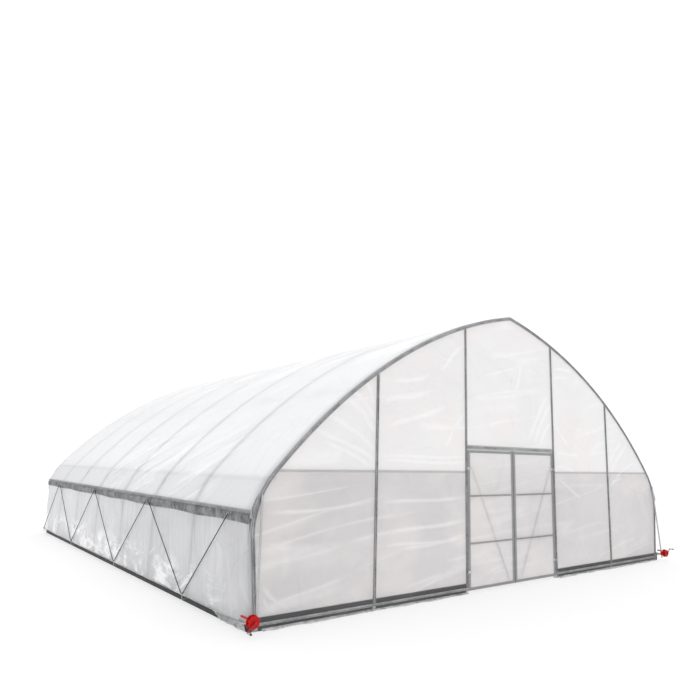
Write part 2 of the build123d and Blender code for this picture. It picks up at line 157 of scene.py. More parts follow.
class Finish:
    def __init__(self, name):
        self.material = bpy.data.materials.new(name)
        self.material.use_nodes = True
        self.tree = self.material.node_tree
        self.tree.nodes.clear()
        self.where = self.node("ShaderNodeTexCoord", {}, output="Object")
        split = self.tree.nodes.new("ShaderNodeSeparateXYZ")
        self.tree.links.new(self.where.socket, split.inputs[0])
        self.x, self.y, self.z = [Field(self, out) for out in split.outputs]

    def node(self, kind, settings, *values, output=None, **named):
        made = self.tree.nodes.new(kind)
        for key, value in settings.items():
            setattr(made, key, value)
        pairs = list(zip(made.inputs, values))
        pairs += [(made.inputs[key], value) for key, value in named.items()]
        for socket, value in pairs:
            if isinstance(value, Field):
                self.tree.links.new(value.socket, socket)
            else:
                socket.default_value = value
        return Field(self, made.outputs[output] if output else made.outputs[0])

    def stored(self, attribute):  # a value that the mesh holds at each vertex
        return self.node("ShaderNodeAttribute", {"attribute_name": attribute}, output="Fac")

    def noise(self, scale, detail=3.0, rough=0.5, twist=0.0, stretch=(1, 1, 1)):
        where = self.node("ShaderNodeVectorMath", {"operation": "MULTIPLY"}, self.where, stretch)
        values = {"Vector": where, "Scale": scale, "Detail": detail}
        return self.node("ShaderNodeTexNoise", {}, Roughness=rough, Distortion=twist, **values)

    def strokes(self, u, slant, scale, thin):
        # Lines at one slant, which raise folds and carry their painted highlights, and painted shade lines
        # beside them, from one noise pulled out along them
        c, s = math.cos(math.radians(slant)), math.sin(math.radians(slant))
        where = self.node("ShaderNodeCombineXYZ", {}, (u * c + self.z * s) * 0.10, self.z * c - u * s, 0.0)
        values = {"Vector": where, "Scale": scale, "Detail": 1.0, "Roughness": 0.5, "Distortion": 0.2}
        lines = self.node("ShaderNodeTexNoise", {}, **values)
        return (1 - abs(lines - 0.5) * 2) ** thin, (1 - abs(lines - 0.46) * 2) ** thin

    def slantLine(self, u, start, end, width):
        # A thin line from start to end in the plane of u and z, strongest at its middle
        (u0, z0), (u1, z1) = start, end
        length = math.hypot(u1 - u0, z1 - z0)
        du, dz = (u1 - u0) / length, (z1 - z0) / length
        along = abs((u - (u0 + u1) / 2) * du + (self.z - (z0 + z1) / 2) * dz)
        across = abs((self.z - z0) * du - (u - u0) * dz)
        return across.fade(0.0, width) * along.fade(length * 0.4, length * 0.5)

    def blend(self, share, first, second):  # a colour between two others
        made = self.tree.nodes.new("ShaderNodeMix")
        made.data_type = "RGBA"
        for socket, value in zip((made.inputs[0], made.inputs[6], made.inputs[7]), (share, first, second)):
            if isinstance(value, Field):
                self.tree.links.new(value.socket, socket)
            else:
                socket.default_value = value if socket.type == "VALUE" else (*value[:3], 1.0)
        return Field(self, made.outputs[2])

    def bump(self, height, distance, strength=1.0):
        values = {"Height": height, "Distance": distance, "Strength": strength}
        return self.node("ShaderNodeBump", {}, output="Normal", **values)

    def close(self, through=0.0, **inputs):
        # One shader at the end, with a share of light let through where it is film
        named = {key.replace("_", " "): value for key, value in inputs.items()}
        shader = self.node("ShaderNodeBsdfPrincipled", {}, output="BSDF", **named)
        if through:
            back = self.node("ShaderNodeBsdfTranslucent", {}, (0.93, 0.93, 0.94, 1.0))
            shader = self.node("ShaderNodeMixShader", {}, through, shader, back)
        end = self.tree.nodes.new("ShaderNodeOutputMaterial")
        self.tree.links.new(shader.socket, end.inputs["Surface"])
        return self.material


# Surfaces as arrays
def surface(points, wrap=False, caps=False, turned=False):
    # A grid of rows by columns as vertices and faces; wrap joins the last column to the first
    rows, columns = points.shape[:2]
    index = np.arange(rows * columns).reshape(rows, columns)
    across = np.concatenate([index, index[:, :1]], axis=1) if wrap else index
    quads = np.stack([across[:-1, :-1], across[1:, :-1], across[1:, 1:], across[:-1, 1:]], axis=-1)
    if turned:
        quads = quads[..., ::-1]
    faces = quads.reshape(-1, 4).tolist()
    if caps:
        faces += [index[0].tolist(), index[-1][::-1].tolist()]
    return points.reshape(-1, 3), faces


def build(name, parts, material, body="tunnel", closed=False, stands=(), smooth=True):
    # One piece from several surfaces, on its body and in its slot
    points, faces, count = [], [], 0
    for partPoints, partFaces in parts:
        points.append(partPoints)
        faces += [[i + count for i in face] for face in partFaces]
        count += len(partPoints)
    mesh = bpy.data.meshes.new(name)
    mesh.from_pydata(np.concatenate(points).tolist(), [], faces)
    if closed:
        shell = bmesh.new()
        shell.from_mesh(mesh)
        bmesh.ops.recalc_face_normals(shell, faces=shell.faces)
        shell.to_mesh(mesh)
        shell.free()
    if smooth:
        mesh.polygons.foreach_set("use_smooth", np.ones(len(mesh.polygons), dtype=bool))
    mesh.update()
    mesh.materials.append(material)
    piece = bpy.data.objects.new(name, mesh)
    bpy.context.scene.collection.objects.link(piece)
    if stands:
        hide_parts(*stands)
    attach(piece, body)
    return piece


def outward(box):  # a box's smaller and larger distance from the middle plane
    return sorted((abs(box[0].x), abs(box[1].x)))


def areaOf(piece):  # sum of its faces
    sizes = np.empty(len(piece.data.polygons))
    piece.data.polygons.foreach_get("area", sizes)
    return float(sizes.sum())


def resample(path, step):
    # The same path with points every step or so, and each one's distance from the start
    run = np.concatenate([[0], np.cumsum(np.linalg.norm(np.diff(path, axis=0), axis=1))])
    at = np.linspace(0, run[-1], max(2, int(round(run[-1] / step)) + 1))
    return np.stack([np.interp(at, run, path[:, i]) for i in range(3)], axis=1), at


def directions(path):  # unit vectors along the path
    ahead = np.gradient(path, axis=0)
    return ahead / np.linalg.norm(ahead, axis=1, keepdims=True)


def carried(path, out, section):
    # Each point of the path plus the section's across and out distances in its own directions
    out = np.broadcast_to(np.asarray(out, float), path.shape)
    across = np.cross(directions(path), out)
    across /= np.linalg.norm(across, axis=1, keepdims=True)
    section = np.asarray(section, float)
    return path[:, None] + section[None, :, :1] * across[:, None] + section[None, :, 1:] * out[:, None]


def roundSection(radius, corners):  # a circle in across and out distances
    angle = np.linspace(0, 2 * np.pi, corners, endpoint=False)
    return np.stack([np.cos(angle), np.sin(angle)], axis=1) * radius


# The arch: the lean of its legs, and the centres and radii of its eave bend and its roof arc
def archSizes():
    lean = math.atan2(arch["legSplay"], arch["legRise"])
    steep, flat = math.radians(arch["rafterSlope"]), math.radians(arch["ridgeSlope"])
    radius = arch["bendRadius"]
    bendX = arch["halfGround"] + arch["legSplay"] - radius * math.cos(lean)
    bendZ = arch["legRise"] + radius * math.sin(lean)
    roofRadius = (bendX + radius * math.sin(steep)) / (math.sin(steep) - math.sin(flat))
    roofX = -roofRadius * math.sin(flat)
    roofZ = bendZ - (roofRadius - radius) * math.cos(steep)
    return lean, steep, bendX, bendZ, roofRadius, roofX, roofZ


lean, steep, bendX, bendZ, roofRadius, roofX, roofZ = archSizes()


def archLine(offset, step=0.04, foot=0.0):
    # Leg line, then the bend's circle, then the roof's circle, each moved out by the offset
    radius = arch["bendRadius"] + offset
    count = max(6, int(arch["legRise"] / step))
    height = np.linspace(foot, bendZ - radius * math.sin(lean), count, endpoint=False)
    leg = np.stack([arch["halfGround"] + offset / math.cos(lean) + height * math.tan(lean), height], axis=1)
    bendAngle = np.linspace(-lean, math.pi / 2 - steep, max(6, int(0.9 * radius / step)), endpoint=False)
    big = roofRadius + offset
    top = math.acos(-roofX / big)
    roofAngle = np.linspace(math.pi / 2 - steep, top, max(8, int(big * (top - math.pi / 2 + steep) / step)))
    bend = np.stack([bendX + radius * np.cos(bendAngle), bendZ + radius * np.sin(bendAngle)], axis=1)
    roof = np.stack([roofX + big * np.cos(roofAngle), roofZ + big * np.sin(roofAngle)], axis=1)
    return np.concatenate([leg, bend, roof])


def wave(value, period, phase=0.0):  # a sine that repeats each period
    return np.sin(2 * np.pi * value / period + phase)


def evenly(start, end, step):  # values from start to end, about a step apart
    return np.linspace(start, end, int(abs(end - start) / step))


def grid(rows, columns):
    return np.meshgrid(rows, columns, indexing="ij")


def ridgeFold(x, z, line, width):
    # A fold along a line: a bell across it, 1 high, that fades towards both ends
    x0, z0, x1, z1 = line
    dx, dz = x1 - x0, z1 - z0
    length = math.hypot(dx, dz)
    along = ((x - x0) * dx + (z - z0) * dz) / length**2
    bend = 0.02 * np.sin(5 * along + 3 * x0)
    across = ((z - z0) * dx - (x - x0) * dz) / length + bend
    ends = np.clip(along * 5, 0, 1) * np.clip((1 - along) * 5, 0, 1)
    return np.exp(-((across / width) ** 2)) * ends


def creases(u, v, seed, count, lean, spread, length, width, height):
    # Sum of short folds, each a bell across a slightly bent line; place and turn come from the seed
    rng = np.random.default_rng(seed)
    total = np.zeros_like(u)
    low, high = (u.min(), v.min()), (u.max(), v.max())
    for _ in range(count):
        cu, cv = rng.uniform(low[0], high[0]), rng.uniform(low[1], high[1])
        angle = math.radians(lean + spread * rng.standard_normal())
        long = rng.uniform(*length) / 2
        wide = rng.uniform(*width)
        tall = rng.uniform(*height) * rng.choice([1.0, 1.0, -0.6])
        bend = rng.uniform(-0.25, 0.25)
        du, dv = u - cu, v - cv
        along = (du * math.cos(angle) + dv * math.sin(angle)) / long
        across = dv * math.cos(angle) - du * math.sin(angle) - bend * long * (along**2 - 0.5)
        total += tall * np.exp(-((across / wide) ** 2)) * np.clip(1 - along**2, 0, 1) ** 1.5
    return total


def smooth(value, start, end):  # 0 at the start, 1 at the end, level at both
    t = np.clip((value - start) / (end - start), 0, 1)
    return t * t * (3 - 2 * t)


# Film finishes. Where it lies on the frame it clings and shows what is behind it. Painted shade in its
# colour marks the frame behind it and the darker parts of the walls, and painted highlights mark its folds.
filmLook = {
    "white": (0.945, 0.95, 0.96),
    "warm": (0.95, 0.935, 0.933),
    "shade": (0.50, 0.505, 0.52),
    "warmShade": (0.52, 0.495, 0.50),
    "blush": (0.93, 0.84, 0.80),
    # the colour of the painted highlights
    "bright": (0.975, 0.975, 0.98),
    "catch": (0.14, 0.14, 0.14),  # light that a crease catches
    "drawn": 0.5,  # strength of the painted highlight on the end wall's drawn creases
    "through": 0.30,
    "clear": 0.36,
    "overBoard": 0.14,
    "plain": 0.96,
    "gloss": 0.34,
}


def creaseHeight(film, scale, stretch, sharp=9.0):
    # Thin raised lines where a noise crosses its middle value
    lines = film.noise(scale, 2.0, 0.45, 0.7, stretch)
    return (1 - abs(lines - 0.5) * 2) ** sharp


def makeFilm(name, touching, shadeAndBlotches, lines, white, shade, glint=0.5, rough=1.0, relief=1.2, patches=None):
    film = Finish(name)
    contact, (fold, furrowShade) = touching(film), lines(film)
    # painted shade: the film's shade function and the furrows beside its folds darken the base colour; the
    # haze is random tone
    dark = shadeAndBlotches(film) + furrowShade
    crumple = film.noise(14.0, 4.0, 0.6, 0.3) * 0.25
    height = crumple + fold * relief + creaseHeight(film, 1.6, (1.0, 1.0, 1.0)) * 0.9
    fine = film.noise(45.0, 3.0, 0.65)
    haze = film.noise(1.1, 3.0, 0.55).fade(0.35, 0.65, 0.0, 0.05)
    colour = film.blend(dark + haze, filmLook[white], filmLook[shade])
    if white == "warm":
        tint = film.noise(0.8, 3.0, 0.6, 0.3).fade(0.44, 0.64, 0.0, 0.34)
        colour = film.blend(tint, colour, filmLook["blush"])
    wet = contact.fade(1.0, 1.5, 0.0, filmLook["clear"] - filmLook["overBoard"])
    # painted highlight: along the folds and in the light patches the colour is lighter, a faint glow is
    # added and the film is less see-through
    shine = fold * glint
    if patches:
        shine = shine.largest(patches(film))
    cover = contact.fade(0.0, 1.0, filmLook["plain"], filmLook["clear"]) + shine * 0.3 - wet
    return film.close(
        Base_Color=film.blend(shine, colour, filmLook["bright"]),
        Roughness=filmLook["gloss"] + fine * 0.16,
        Alpha=cover.smallest(1.0),
        Normal=film.bump(height, 0.012 * rough, 0.8),
        Emission_Color=film.blend(shine, (0.0, 0.0, 0.0), filmLook["catch"]),
        Emission_Strength=1.0,
        through=filmLook["through"],
    )


def archShadow(film, soft):  # soft grey bands where the arches stand behind the film
    return film.y.nearestOf(firstArch, bay).fade(tube * 0.2, tube * 0.5 + soft)


lowerPurlin, middlePurlin = [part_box(node)[0].z + 0.017 for node in ("lower_purlins", "middle_purlins")]


def roofTouch(film):
    touch = film.y.nearestOf(firstArch, bay).fade(0.02, 0.05, 0.10, 0.0) * film.z.fade(1.7, 3.4, 1.0, 0.3)
    touch = touch.largest(abs(film.z - lowerPurlin).fade(0.008, 0.03, 0.12, 0.0))
    return touch.largest(film.z.fade(1.30, 1.32, 1.0, 0.0))


# painted shade on the roof: soft arch shadows that fade up the roof and towards the back, an even greying,
# bands at the purlins and a darker strip below the lower purlin and at the eave
def roofPaintedShade(film):
    shade = archShadow(film, 0.12) * film.z.fade(1.5, 3.6, 0.26, 0.10)
    shade = shade * film.y.fade(-5.0, 5.0, 1.0, 0.7) + 0.12
    shade = shade + abs(film.z - lowerPurlin).fade(0.01, 0.05, 0.16, 0.0)
    shade = shade + abs(film.z - middlePurlin).fade(0.01, 0.06, 0.06, 0.0) * film.y.fade(-4.5, 0.0, 1.0, 0.2)
    shade = shade + film.z.fade(lowerPurlin - 0.03, lowerPurlin + 0.03, 0.28, 0.0)
    return shade + film.z.fade(1.28, 1.36, 0.2, 0.0)


def roofLines(film):  # pulled into slanting furrows, low by the middle bays and along the ridge; painted highlights on them and painted shade beside them
    middle = film.y.fade(-4.2, -3.4, 0.0, 1.0) * film.y.fade(0.2, 1.4, 1.0, 0.0)
    middle = middle * film.z.fade(1.9, 2.6, 1.0, 0.15)
    ridge = film.z.fade(3.1, 3.7, 0.0, 1.0)
    here = film.noise(0.7, 2.0, 0.5).fade(0.34, 0.48, 0.0, 1.0) * middle.largest(ridge)
    bright, dark = film.strokes(film.y, -27, 3.6, 10.0)
    return bright * here, dark * here * 0.5


def sideTouch(film):
    return film.y.nearestOf(firstArch, bay).fade(0.02, 0.05, 0.16, 0.0) * film.z.fade(0.5, 1.0, 0.4, 1.0)


# painted shade on the side curtains: soft leg shadows except at the front end, darker at the front end than
# at the back and darker above 1.2 m; the blotches are random tone
def sideShadeAndBlotches(film):
    blotch = film.noise(0.9, 3.0, 0.6).fade(0.35, 0.7, 0.0, 0.16)
    inside = film.y.fade(firstArch + 0.1, firstArch + 0.4, 0.0, 1.0)
    length = film.y.fade(-5.2, 5.4, 0.80, 0.34)
    return archShadow(film, 0.07) * 0.16 * inside + blotch + length + film.z.fade(0.95, 1.2, 0.0, 0.12)


def sideLines(film):
    # painted highlights on upright strokes and fainter painted shade beside them
    bright, dark = film.strokes(film.y, 80, 5.0, 14.0)
    return bright * 0.3, dark * 0.1


def sidePatches(film):  # light caught by the crumpled film above the roll
    crumple = film.noise(1.5, 5.0, 0.66, 0.9, (1.0, 0.8, 1.5)).fade(0.47, 0.60, 0.0, 1.0)
    return crumple * film.z.fade(0.34, 0.66, 0.9, 0.0) * film.y.fade(-4.9, -4.0, 0.15, 1.0)


def wallTouch(film):
    edge = film.stored("edge")
    side = abs(film.x)
    touch = edge.fade(0.052, 0.066)
    touch = touch.largest(abs(side - wallFrame["outerPost"]).fade(0.024, 0.034))
    touch = touch.largest(abs(side - wallFrame["doorPost"]).fade(0.026, 0.034))
    touch = touch.largest(abs(film.z - wallFrame["girt"]).fade(0.012, 0.024, 0.85, 0.0))
    touch = touch.largest(film.z.fade(wallFrame["boardTop"], 0.15, 1.5, 0.0))
    header = abs(film.z - wallFrame["header"]).fade(0.034, 0.042) * side.fade(1.09, 1.10)
    return touch.largest(header)


# painted shade on the end walls: darker below the girt, darker to the left than to the right and darker over
# the base board; the blotches are random tone
def wallShadeAndBlotches(film):
    low = film.z.fade(1.70, 1.80, 0.68, 0.0) + film.x.fade(-4.4, 4.4, 0.09, -0.03)
    blotch = film.noise(0.55, 3.0, 0.6, 0.4).fade(0.35, 0.7, 0.0, 0.10)
    return (low + blotch + film.z.fade(0.135, 0.15, 0.3, 0.0)).largest(0.0)


def wallLines(film):
    # painted highlights on slanting strokes in random patches, and faint painted shade beside them
    bright, dark = film.strokes(film.x, 8, 2.4, 22.0)
    here = film.noise(0.7, 2.0, 0.5).fade(0.42, 0.54, 0.0, 1.0) * film.x.fade(-0.5, 1.0, 0.4, 0.2)
    return bright * here, dark * here * 0.2


# The end wall's drawn creases: x and z of each one's start and end in metres, its width and height in mm
wallCreases = [
    (-3.88, 2.30, -2.88, 1.87, 26, 12), (-3.67, 2.48, -2.88, 2.02, 22, 10),
    (-3.41, 2.72, -2.88, 2.25, 26, 12), (-3.32, 2.82, -2.88, 2.44, 22, 10),
    (-3.75, 2.15, -2.95, 1.80, 22, 9), (-3.10, 2.95, -2.90, 2.62, 20, 8),
    (-2.80, 1.93, -1.12, 1.98, 16, 7), (-2.77, 1.87, -1.15, 1.90, 16, 6),
    (-4.49, 1.25, -2.88, 1.35, 18, 8), (-2.80, 1.32, -1.12, 1.39, 20, 10),
    (-2.80, 0.92, -1.12, 1.06, 24, 11), (-2.80, 0.76, -1.12, 0.80, 18, 9),
    (-2.50, 0.70, -1.12, 0.83, 22, 10), (-4.50, 0.72, -4.00, 0.73, 16, 6),
    (-4.50, 0.46, -4.10, 0.16, 18, 7), (-4.48, 0.33, -4.28, 0.15, 16, 6),
    (-4.48, 0.92, -3.90, 0.84, 16, 6), (-2.75, 2.68, -1.88, 2.89, 30, 9),
    (-2.70, 2.33, -1.55, 2.70, 30, 9), (-2.60, 2.95, -1.90, 3.12, 26, 8),
    (-1.68, 3.23, -1.18, 3.66, 24, 9), (-1.60, 2.10, -1.15, 2.62, 22, 8),
    (0.35, 2.25, 1.02, 3.10, 24, 9), (0.52, 2.22, 1.06, 2.92, 22, 9),
    (0.72, 2.22, 1.06, 2.62, 20, 8), (0.10, 3.10, 0.28, 3.55, 22, 7),
    (1.18, 3.55, 1.75, 3.62, 20, 9), (1.18, 3.38, 1.62, 3.48, 18, 8),
    (1.18, 2.55, 1.60, 2.20, 18, 7), (1.18, 2.05, 1.90, 2.08, 16, 7),
    (1.18, 1.84, 1.80, 1.80, 16, 6), (1.22, 1.62, 1.95, 1.30, 18, 7),
    (2.93, 1.72, 3.62, 2.32, 22, 10), (2.93, 1.92, 3.40, 2.38, 20, 9),
    (3.10, 1.62, 3.95, 2.02, 20, 8), (2.93, 1.50, 3.30, 1.66, 18, 7),
]


def frontLines(film):  # the drawn creases as raised lines with painted highlights, with the fine ones of any wall
    bright, dark = wallLines(film)
    return bright.largest(film.stored("crease") * filmLook["drawn"]), dark


roofMaterial = makeFilm("roof_film", roofTouch, roofPaintedShade, roofLines, "white", "shade", 0.7)
wallMaterial = makeFilm("wall_film", wallTouch, wallShadeAndBlotches, wallLines, "warm", "warmShade", 0.6, relief=0.6)
frontMaterial = makeFilm(
    "front_film", wallTouch, wallShadeAndBlotches, frontLines, "warm", "warmShade", 0.75, relief=0.15
)
curtainMaterial = makeFilm(
    "curtain_film", sideTouch, sideShadeAndBlotches, sideLines, "white", "shade", 0.5, rough=1.4, patches=sidePatches
)


def makeGathered(name, light, dark, alpha, stretch, shine=0.5):
    # Film in tight folds: greyer, painted darker where the folds go in, with painted highlights on its
    # crease lines and more to see through
    film = Finish(name)
    folds = film.noise(5.0, 3.0, 0.6, 0.5, stretch)
    lines = creaseHeight(film, 9.0, stretch, 7.0)
    colour = film.blend(folds.fade(0.38, 0.60, 0.0, 1.0), light, dark)
    return film.close(
        Base_Color=film.blend(lines * shine, colour, (0.86, 0.865, 0.87)),
        Roughness=0.3 + folds * 0.2,
        Alpha=(alpha + lines * 0.2).smallest(1.0),
        Normal=film.bump(folds + lines, 0.02, 0.9),
        through=0.15,
    )


# painted shade: the valance is the roof's white film, painted dark grey to near black for the shade under
# the eave channel
valanceMaterial = makeGathered(
    "valance_film", (0.20, 0.205, 0.215), (0.035, 0.037, 0.04), 0.92, (1.0, 1.5, 0.6), 0.25
)
rollMaterial = makeGathered("wound_film", (0.80, 0.805, 0.815), (0.26, 0.265, 0.28), 0.85, (2.2, 0.16, 2.2))
hemMaterial = makeGathered("hem_film", (0.86, 0.865, 0.875), (0.42, 0.425, 0.44), 0.62, (1.0, 1.0, 1.6))


# Metal, board, paint and rope
def makeGalvanised(name, light, dark, rough=0.42, metal=0.75):
    steel = Finish(name)
    values = {"Vector": steel.where, "Scale": 85.0}
    spangle = steel.node("ShaderNodeTexVoronoi", {"feature": "F1"}, output="Color", **values)
    flakes = steel.node("ShaderNodeSeparateColor", {}, spangle)
    streak = steel.noise(9.0, 4.0, 0.6, 0.2)
    return steel.close(
        Base_Color=steel.blend(flakes * 0.45 + streak * 0.55, dark, light),
        Metallic=metal,
        Roughness=rough + flakes * 0.14 - streak * 0.06,
        Normal=steel.bump(flakes * 0.3 + streak, 0.0008, 0.5),
    )


tubeMaterial = makeGalvanised("galvanised_tube", (0.62, 0.635, 0.65), (0.36, 0.37, 0.385))
doorMaterial = makeGalvanised("door_tube", (0.30, 0.305, 0.315), (0.13, 0.133, 0.14))
sheetMaterial = makeGalvanised("galvanised_sheet", (0.50, 0.51, 0.52), (0.27, 0.275, 0.285))
zincMaterial = makeGalvanised("zinc_hardware", (0.75, 0.76, 0.77), (0.42, 0.425, 0.43), 0.3, 0.9)


def makeChannelMetal(name):
    metal = Finish(name)
    brushed = metal.noise(60.0, 3.0, 0.6, 0.0, (0.3, 0.3, 0.3))
    grime = metal.noise(5.0, 4.0, 0.65, 0.3)
    return metal.close(
        Base_Color=metal.blend(grime.fade(0.3, 0.7), (0.46, 0.465, 0.475), (0.26, 0.265, 0.275)),
        Metallic=0.7,
        Roughness=0.34 + brushed * 0.2,
        Normal=metal.bump(brushed, 0.0006, 0.5),
    )


channelMaterial = makeChannelMetal("aluminium_channel")


def makeBoard(name):
    board = Finish(name)
    grain = board.noise(26.0, 5.0, 0.65, 0.3, (0.5, 0.5, 3.0))
    dust = board.noise(3.0, 4.0, 0.6).fade(0.42, 0.75, 0.0, 0.3) * board.z.fade(0.0, 0.12, 1.0, 0.35)
    return board.close(
        Base_Color=board.blend(dust, (0.016, 0.018, 0.020), (0.11, 0.112, 0.115)),
        Roughness=0.5 + grain * 0.25,
        Normal=board.bump(grain, 0.002, 0.6),
    )


boardMaterial = makeBoard("black_board")


def makeRed(name):
    red = Finish(name)
    cast = red.noise(120.0, 3.0, 0.6)
    worn = red.noise(30.0, 4.0, 0.65).fade(0.62, 0.72, 0.0, 0.6)
    return red.close(
        Base_Color=red.blend(worn, (0.46, 0.005, 0.004), (0.22, 0.006, 0.005)),
        Roughness=0.32 + cast * 0.2,
        Normal=red.bump(cast, 0.0012, 0.5),
        Specular_IOR_Level=0.2,
    )


redMaterial = makeRed("red_cast")


def makeCrankPaint(name):  # red arm and hub, bare steel grip with a black end
    crank = Finish(name)
    worn = crank.noise(60.0, 4.0, 0.65).fade(0.60, 0.72, 0.0, 0.6)
    arm = crank.blend(worn, (0.34, 0.007, 0.006), (0.12, 0.02, 0.018))
    steel = crank.blend(crank.noise(90.0, 3.0, 0.6), (0.62, 0.62, 0.63), (0.34, 0.34, 0.35))
    grip = crank.y.fade(crankGrip - 0.002, crankGrip, 1.0, 0.0)
    end = crank.y.fade(crankGrip - 0.052, crankGrip - 0.050, 1.0, 0.0)
    return crank.close(
        Base_Color=crank.blend(end, crank.blend(grip, arm, steel), (0.02, 0.02, 0.022)),
        Metallic=(grip - end) * 0.8,
        Roughness=0.34 + worn * 0.3,
        Normal=crank.bump(worn, 0.0006, 0.5),
    )


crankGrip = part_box("left_gearbox")[0].y - 0.020
crankMaterial = makeCrankPaint("crank_paint")


def makeRopeFinish(name):
    rope = Finish(name)
    bands = {"wave_type": "BANDS", "bands_direction": "DIAGONAL"}
    lay = rope.node("ShaderNodeTexWave", bands, Vector=rope.where, Scale=60.0)
    fuzz = rope.noise(300.0, 3.0, 0.7)
    return rope.close(
        Base_Color=rope.blend(lay * 0.7 + fuzz * 0.3, (0.012, 0.013, 0.014), (0.05, 0.052, 0.055)),
        Roughness=0.8 + fuzz * 0.1,
        Normal=rope.bump(lay + fuzz * 0.4, 0.0015, 0.7),
    )


ropeMaterial = makeRopeFinish("dark_rope")

finishes = {
    "galvanised_tube": tubeMaterial,
    "galvanised_sheet": sheetMaterial,
    "aluminium_channel": channelMaterial,
    "black_board": boardMaterial,
    "film": wallMaterial,
    "curtain_film": curtainMaterial,
    "rolled_film": rollMaterial,
    "door_tube": doorMaterial,
    "zinc_hardware": zincMaterial,
    "red_cast": redMaterial,
    "dark_rope": ropeMaterial,
}
for nodeName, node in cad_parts.items():
    for i, slotMaterial in enumerate(node.data.materials):
        plain = finishes[slotMaterial.name.split(".")[0]]
        node.data.materials[i] = crankMaterial if nodeName.endswith("_crank") else plain
print("finishes made")


# Roof film: over the tubes from rail to rail, tight at the arches and a little slack between them
roofFilm = {"step": 0.045, "clear": 0.004, "slack": 0.005, "folds": 240, "seed": 3}


def roofProfile(offset, step):
    # From the foot of the rail straight up, then a line that leaves the bend as a tangent, then the arch
    radius = arch["bendRadius"] + offset
    cornerX, cornerZ = railBox[1].x + 0.0014, railBox[1].z
    dx, dz = cornerX - bendX, cornerZ - bendZ
    leave = math.atan2(dz, dx) + math.acos(radius / math.hypot(dx, dz))
    line = archLine(offset, 0.01)
    angle = np.arctan2(line[:, 1] - bendZ, line[:, 0] - bendX)
    keep = (line[:, 1] > bendZ) & ((angle > leave) | (line[:, 0] < bendX))
    tangent = [bendX + radius * math.cos(leave), bendZ + radius * math.sin(leave)]
    path = np.concatenate([[[cornerX, railBox[0].z], [cornerX, cornerZ], tangent], line[keep]])
    path[-1, 0] = 0.0
    return resample(np.stack([path[:, 0], np.zeros(len(path)), path[:, 1]], axis=1), step)


def makeRoofFilm():
    half, run = roofProfile(tube / 2 + roofFilm["clear"], roofFilm["step"])
    left = half * np.array([-1.0, 1.0, 1.0])
    path = np.concatenate([left, half[-2::-1]])
    s = np.concatenate([run, 2 * run[-1] - run[-2::-1]])
    fromEave = np.minimum(s, 2 * run[-1] - s)
    ahead = directions(path)
    out = np.stack([-ahead[:, 2], np.zeros(len(path)), ahead[:, 0]], axis=1)
    y = np.linspace(frontSkin + 0.002, backSkin - 0.002, int((backSkin - frontSkin) / roofFilm["step"]))
    sGrid, yGrid = grid(s, y)
    eave = np.broadcast_to(fromEave[:, None], sGrid.shape)
    z = np.broadcast_to(path[:, 2:3], sGrid.shape)
    nearArch = np.abs((yGrid - firstArch + bay / 2) % bay - bay / 2)
    nearPurlin = np.minimum(np.abs(z - lowerPurlin), np.abs(z - middlePurlin))
    loose = smooth(nearArch, 0.03, 0.3) * smooth(nearPurlin, 0.0, 0.12)
    dip = -roofFilm["slack"] * loose * smooth(eave, 0.3, 0.8)
    sizes = ((0.4, 1.6), (0.02, 0.045), (0.002, 0.006))
    folds = creases(sGrid, yGrid, roofFilm["seed"], roofFilm["folds"], 60, 30, *sizes)
    tugs = (
        wave(yGrid + 0.7 * eave + 0.05 * wave(yGrid, 1.1), 0.27, 0.6 * wave(yGrid, 2.3))
        + 0.6 * wave(yGrid - 0.9 * eave, 0.19, wave(yGrid, 1.7))
    )
    tugs = tugs * 0.006 * np.exp(-((eave - 0.30) / 0.26) ** 2)
    push = dip + folds * smooth(nearArch, 0.0, 0.12) * smooth(eave, 0.1, 0.3) + np.maximum(tugs, -0.002)
    points = path[:, None] + np.stack([np.zeros_like(yGrid), yGrid, np.zeros_like(yGrid)], axis=-1)
    points = points + push[..., None] * out[:, None]
    points[..., 1] = np.clip(points[..., 1], frontSkin, backSkin)
    sheet = build("roof_sheet", [surface(points)], roofMaterial, stands=("roof_film",))


makeRoofFilm()
print("roof film")


# End walls: the film between the arch and the door, with the folds the photograph shows
wallFilm = {
    "frontStep": 0.022,
    "rearStep": 0.04,
    "rearSplit": 2.1,
    "flat": (9.32, 4.327),
    "folds": 170,
    "puff": 0.004,
}


def wallGrids(sign, innerX, splitZ, step):
    # Rows by height, columns between the inner edge and the arch, in a part below and one above the split
    line = archLine(tube / 2 + 0.001, step, 0.004)
    heights = line[:, 1]
    count = int((line[:, 0].max() - innerX) / step)
    share = np.linspace(0, 1, count)
    below = heights < splitZ
    low = np.concatenate([heights[below], [splitZ]])
    edgeAtSplit = np.interp(splitZ, heights, line[:, 0])
    lowEdge = np.concatenate([line[below, 0], [edgeAtSplit]])
    lowX = innerX + share * (lowEdge[:, None] - innerX)
    high = np.concatenate([[splitZ], heights[~below]])
    highEdge = np.concatenate([[edgeAtSplit], line[~below, 0]])
    highShare = (innerX + share * (edgeAtSplit - innerX)) / edgeAtSplit
    if innerX > 0:
        middle = np.linspace(0, highShare[0], int(innerX / step), endpoint=False)
        highShare = np.concatenate([middle, highShare])
    highX = highEdge[:, None] * highShare
    lowZ, highZ = np.broadcast_to(low[:, None], lowX.shape), np.broadcast_to(high[:, None], highX.shape)
    return [(sign * lowX, lowZ), (sign * highX, highZ)]


def archDepth(x, z):
    # How far a point is inside the arch's outer line: its distance to the nearest of the line's points
    line = archLine(tube / 2, 0.02)
    flat = np.stack([np.abs(x).ravel(), z.ravel()], axis=1)
    depth = np.empty(len(flat))
    for start in range(0, len(flat), 4000):
        part = flat[start : start + 4000]
        depth[start : start + 4000] = np.sqrt(((part[:, None] - line[None]) ** 2).sum(-1)).min(1)
    return depth.reshape(x.shape)


